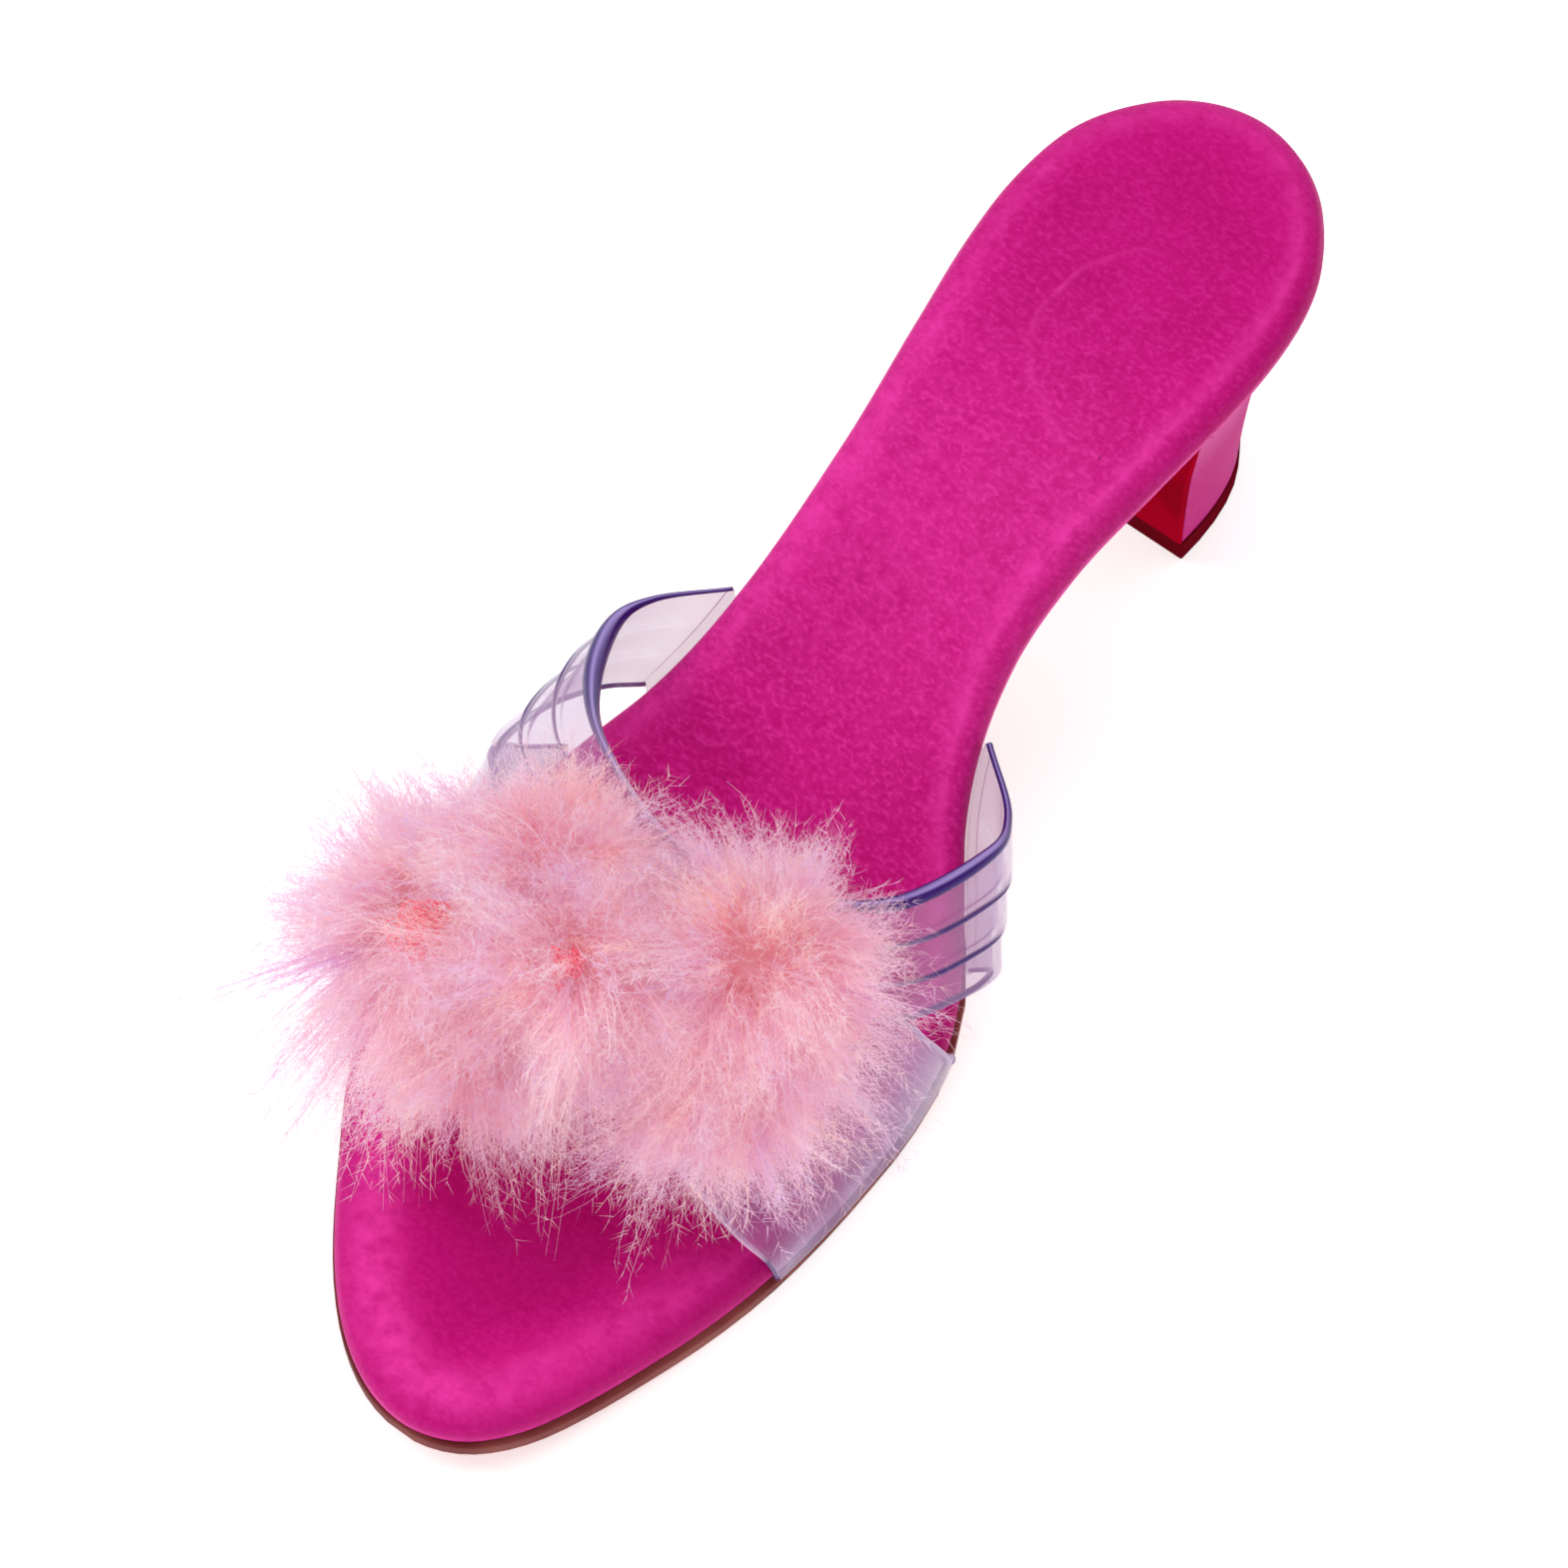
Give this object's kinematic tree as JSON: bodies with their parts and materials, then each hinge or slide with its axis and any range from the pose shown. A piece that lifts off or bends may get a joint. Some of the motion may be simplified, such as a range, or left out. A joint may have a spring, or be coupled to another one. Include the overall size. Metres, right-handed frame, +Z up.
{
  "type": "heeled mule with feather trim",
  "caption": "Open-toe mule on a block heel: padded satin footbed, clear vinyl cross-over bands and a marabou feather trim over the vamp.",
  "frame": {"origin": "middle of the heel tip's wearing face, on the floor", "axes": "+Z up, the toe points to -Y, +X is the medial side of this right shoe"},
  "size_m": [0.1159, 0.2382, 0.0892],
  "materials": {
    "satin": "satin, soft sheen",
    "heel_satin": "satin, soft sheen",
    "leather": "smooth, low gloss",
    "tip": "matt",
    "vinyl": "clear, polished",
    "marabou": "downy feather"
  },
  "bodies": {
    "root": {"outsole": "leather", "footbed": "satin", "heel_block": "heel_satin", "heel_tip": "tip", "vamp": "vinyl", "marabou": "marabou"}
  },
  "joints": []
}
